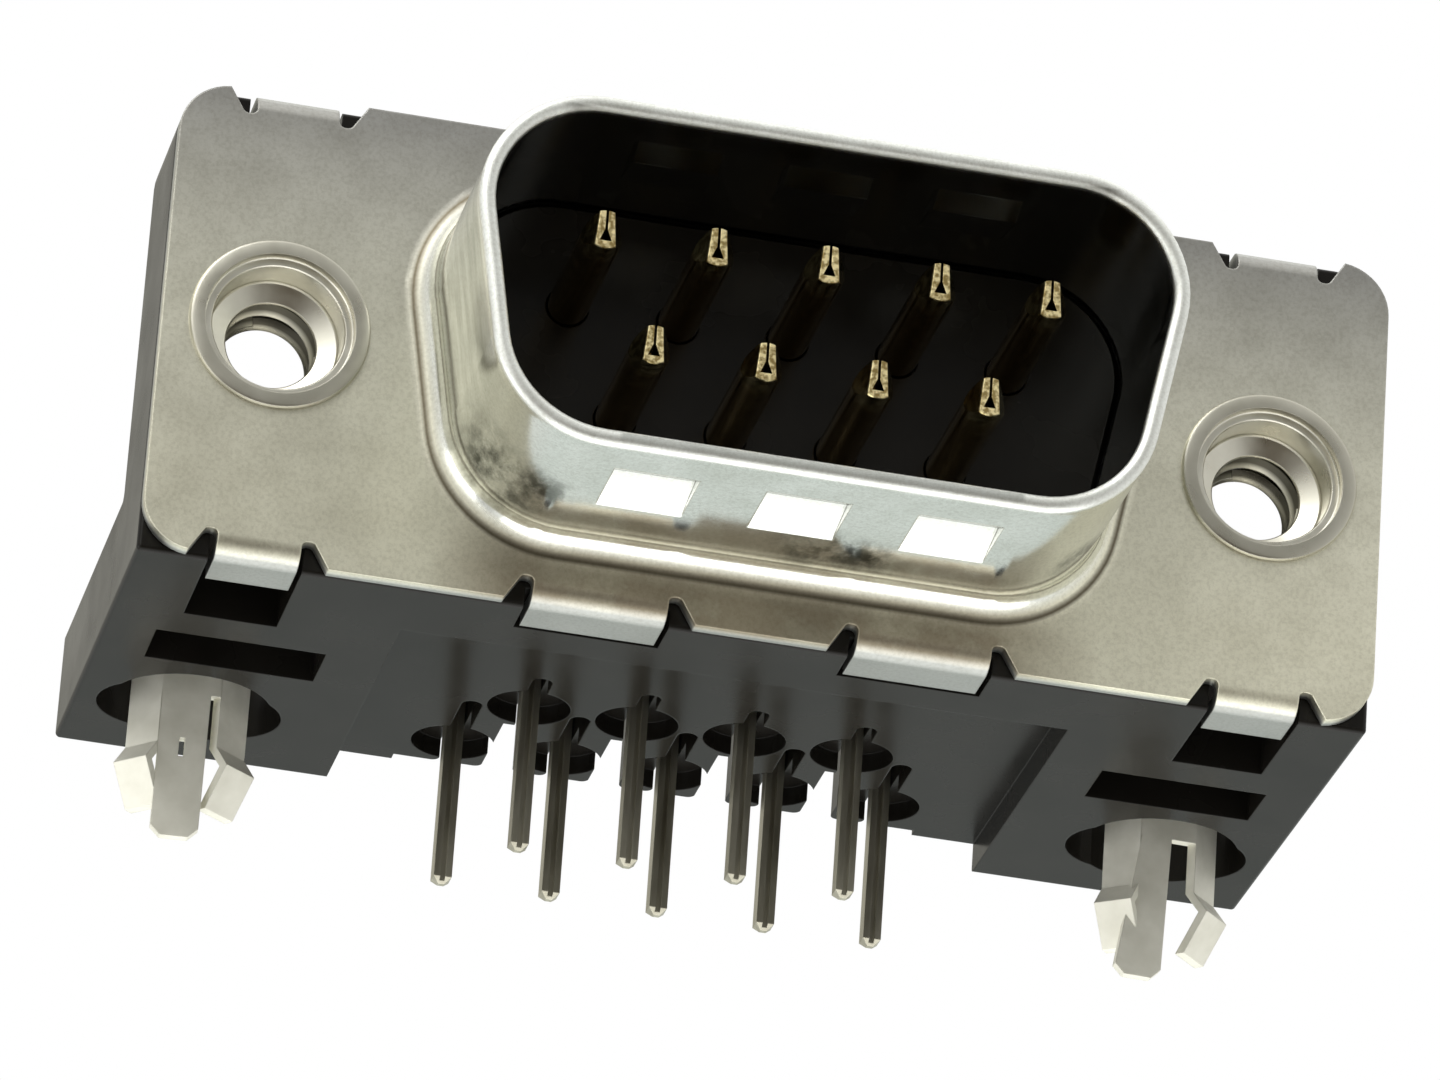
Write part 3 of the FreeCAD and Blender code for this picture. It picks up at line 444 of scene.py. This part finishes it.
# The threaded inserts, turned ring by ring, each with its screw thread
insert = {
    "spacing": 24.99, "setback": 9.5, "height": 6.25, "sides": 96, "weld": 0.000002, "smoothUnder": 25,
    "rings": [(-0.15, 1.86), (-0.15, 2.15), (-0.13, 2.21), (-0.07, 2.24), (0.0, 2.24), (0.0, 2.0), (2.53, 2.0),
              (2.53, 2.35), (2.83, 2.35), (2.83, 1.14), (2.80, 1.12), (2.72, 1.20), (2.62, 1.38), (1.42, 1.38),
              (1.31, 1.20), (1.24, 1.12), (1.20, 1.15), (1.05, 1.60), (1.0, 1.64), (0.16, 1.64), (0.12, 1.67),
              (0.12, 1.83), (0.09, 1.86)],
    "crest": 1.12, "rootRadius": 1.38, "pitch": 0.635, "threadFront": 1.16, "threadBack": 2.88, "turnSteps": 72,
    "ridgeShare": 0.74, "ridgeRoot": 0.03,
}


def deselect():
    if bpy.context.object and bpy.context.object.mode != "OBJECT":
        bpy.ops.object.mode_set(mode="OBJECT")
    bpy.ops.object.select_all(action="DESELECT")


def turnedBody(name, x):
    # a ring of edges, drawn out step by step and closed on itself
    deselect()
    middleZ = insert["height"] * mm
    startY, startR = insert["rings"][0]
    centre = (x, (startY - insert["setback"]) * mm, middleZ)
    bpy.ops.mesh.primitive_circle_add(vertices=insert["sides"], radius=startR * mm, location=centre,
                                      rotation=(pi / 2, 0, 0))
    piece = bpy.context.object
    piece.name = name
    bpy.ops.object.transform_apply(location=True, rotation=True, scale=True)
    bpy.ops.object.mode_set(mode="EDIT")
    bpy.ops.mesh.select_all(action="SELECT")
    lastY, lastR = startY, startR
    for ringY, ringR in insert["rings"][1:] + insert["rings"][:1]:
        bpy.ops.mesh.extrude_edges_move()
        axisPoint = (x, (lastY - insert["setback"]) * mm, middleZ)
        bpy.ops.transform.resize(value=(ringR / lastR, 1, ringR / lastR), center_override=axisPoint)
        bpy.ops.transform.translate(value=(0, (ringY - lastY) * mm, 0))
        lastY, lastR = ringY, ringR
    bpy.ops.mesh.select_all(action="SELECT")
    bpy.ops.mesh.remove_doubles(threshold=insert["weld"])
    bpy.ops.mesh.normals_make_consistent(inside=False)
    bpy.ops.object.mode_set(mode="OBJECT")
    return piece


def screwThread(name, x):
    # a three-sided ridge, wound about the bore's axis by a screw modifier. A triangle in a circle
    # is 1.5 radii high and 3 ** 0.5 radii wide.
    deselect()
    ridge = (insert["rootRadius"] + insert["ridgeRoot"] - insert["crest"]) / 1.5 * mm
    bpy.ops.mesh.primitive_circle_add(vertices=3, radius=ridge, location=(insert["crest"] * mm + ridge, 0, 0),
                                      rotation=(0, 0, pi / 2))
    thread = bpy.context.object
    thread.name = name
    bpy.ops.object.transform_apply(location=True, rotation=True, scale=True)
    wide = insert["ridgeShare"] * insert["pitch"] * mm / (ridge * 3 ** 0.5)
    bpy.ops.transform.resize(value=(1, wide, 1), center_override=(0, 0, 0))
    bpy.ops.object.transform_apply(location=True, rotation=True, scale=True)
    turns = (insert["threadBack"] - insert["threadFront"]) / insert["pitch"] - 1
    bpy.ops.object.modifier_add(type="SCREW")
    winding = thread.modifiers[-1]
    winding.axis = "Y"
    winding.angle = turns * 2 * pi
    winding.screw_offset = turns * insert["pitch"] * mm
    winding.steps = winding.render_steps = int(turns * insert["turnSteps"])
    winding.use_merge_vertices = False
    bpy.ops.object.modifier_apply(modifier=winding.name)
    bpy.ops.object.mode_set(mode="EDIT")
    bpy.ops.mesh.select_all(action="SELECT")
    bpy.ops.mesh.fill_holes(sides=3)
    bpy.ops.mesh.select_all(action="SELECT")
    bpy.ops.mesh.normals_make_consistent(inside=False)
    bpy.ops.object.mode_set(mode="OBJECT")
    startY = insert["threadFront"] + insert["pitch"] / 2 - insert["setback"]
    thread.location = (x, startY * mm, insert["height"] * mm)
    bpy.ops.object.transform_apply(location=True, rotation=True, scale=True)
    return thread


for side, x in (("left", -insert["spacing"] / 2 * mm), ("right", insert["spacing"] / 2 * mm)):
    piece = turnedBody("insertBody_" + side, x)
    thread = screwThread("insertThread_" + side, x)
    deselect()
    thread.select_set(True)
    piece.select_set(True)
    bpy.context.view_layer.objects.active = piece
    bpy.ops.object.join()
    piece.data.materials.append(turnedInsert)
    bpy.ops.object.shade_smooth_by_angle(angle=radians(insert["smoothUnder"]))
    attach(piece, "root")
    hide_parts("threaded_insert_" + side)
print("inserts turned")

# Floor, backdrop and light
studio = {
    "floorHeight": -0.30, "floorSize": 0.9, "fade": (0.16, 0.44), "floorColour": (0.86, 0.86, 0.85),
    "floorGloss": 0.8, "tone": [(0.05, (0.70, 0.70, 0.68)), (0.45, (0.88, 0.885, 0.87))],
    "overhead": (0.5, 1, 1, 1.6),
    # patches of the room: direction, how far they reach (cosines), colour
    "patches": [
        ((-0.176, 0.894, 0.413), 0.72, 0.93, (0.54, 0.53, 0.47)),
        ((0.176, 0.894, -0.413), 0.72, 0.93, (0.62, 0.67, 0.64)),
        ((0.06, -0.905, 0.415), 0.86, 0.97, (0.375, 0.375, 0.36)),
        ((-0.50, -0.77, 0.40), 0.93, 0.98, (1.5, 1.5, 1.45)),
        ((0.0, -0.955, -0.30), 0.88, 0.955, (0.07, 0.052, 0.033)),
    ],
}
# one lamp above on the left, the glow of a white table below, and a weak one low on the left
lamps = {
    "keyLamp": {"place": (-0.25, -0.35, 0.45), "aim": (0, 0, 0.006), "width": 0.36, "height": 0.36, "power": 1.2},
    "tableGlow": {"place": (0.05, 0.10, -0.27), "aim": (0.05, 0.10, 0.006), "width": 0.42, "height": 0.44,
                  "power": 0.66},
    "leftGlow": {"place": (-0.30, -0.06, -0.10), "aim": (0, 0, 0.004), "width": 0.22, "height": 0.20,
                 "power": 0.20},
}


def paleFloor():
    deselect()
    bpy.ops.mesh.primitive_plane_add(size=studio["floorSize"], location=(0, 0, studio["floorHeight"]))
    floor = bpy.context.object
    floor.name = "paleFloor"
    mat, tree, shader, where = newMaterial("paleFloor")
    shader.inputs["Base Color"].default_value = (*studio["floorColour"], 1)
    shader.inputs["Roughness"].default_value = studio["floorGloss"]
    # the floor fades into the white room before its edge shows
    centre = tree.nodes.new("ShaderNodeVectorMath")
    centre.operation = "LENGTH"
    tree.links.new(where, centre.inputs[0])
    clear = tree.nodes.new("ShaderNodeBsdfTransparent")
    fade = tree.nodes.new("ShaderNodeMixShader")
    tree.links.new(spread(tree, centre.outputs["Value"], *studio["fade"], 0, 1), fade.inputs["Fac"])
    tree.links.new(shader.outputs["BSDF"], fade.inputs[1])
    tree.links.new(clear.outputs["BSDF"], fade.inputs[2])
    tree.links.new(fade.outputs["Shader"], tree.nodes["Material Output"].inputs["Surface"])
    floor.data.materials.append(mat)


def roomLight():
    world = bpy.data.worlds.new("softRoom")
    bpy.context.scene.world = world
    world.use_nodes = True
    tree = world.node_tree
    back = tree.nodes["Background"]
    out = tree.nodes["World Output"]
    where = tree.nodes.new("ShaderNodeTexCoord").outputs["Generated"]
    backwards = spread(tree, axisOf(tree, where, "Y"), -1, 1, 0, 1)
    tone = ramp(tree, backwards, studio["tone"])
    for direction, reach, core, colour in studio["patches"]:
        towards = tree.nodes.new("ShaderNodeVectorMath")
        towards.operation = "DOT_PRODUCT"
        towards.inputs[1].default_value = direction
        tree.links.new(where, towards.inputs[0])
        tone = blendColours(tree, spread(tree, towards.outputs["Value"], reach, core, 0, 1), tone, colour)
    tree.links.new(tone, back.inputs["Color"])
    tree.links.new(spread(tree, axisOf(tree, where, "Z"), *studio["overhead"]), back.inputs["Strength"])
    white = tree.nodes.new("ShaderNodeBackground")
    white.inputs["Color"].default_value = (1, 1, 1, 1)
    rays = tree.nodes.new("ShaderNodeLightPath")
    mix = tree.nodes.new("ShaderNodeMixShader")
    tree.links.new(rays.outputs["Is Camera Ray"], mix.inputs["Fac"])
    tree.links.new(back.outputs["Background"], mix.inputs[1])
    tree.links.new(white.outputs["Background"], mix.inputs[2])
    tree.links.new(mix.outputs["Shader"], out.inputs["Surface"])


def softLamp(name, place, aim, width, height, power):
    light = bpy.data.lights.new(name, "AREA")
    light.shape = "RECTANGLE"
    light.size, light.size_y, light.energy = width, height, power
    lamp = bpy.data.objects.new(name, light)
    bpy.context.scene.collection.objects.link(lamp)
    lamp.location = place
    lamp.visible_camera = False
    lamp.rotation_euler = (Vector(aim) - Vector(place)).to_track_quat("-Z", "Y").to_euler()


paleFloor()
roomLight()
for name, lamp in lamps.items():
    softLamp(name, **lamp)
print("studio ready")
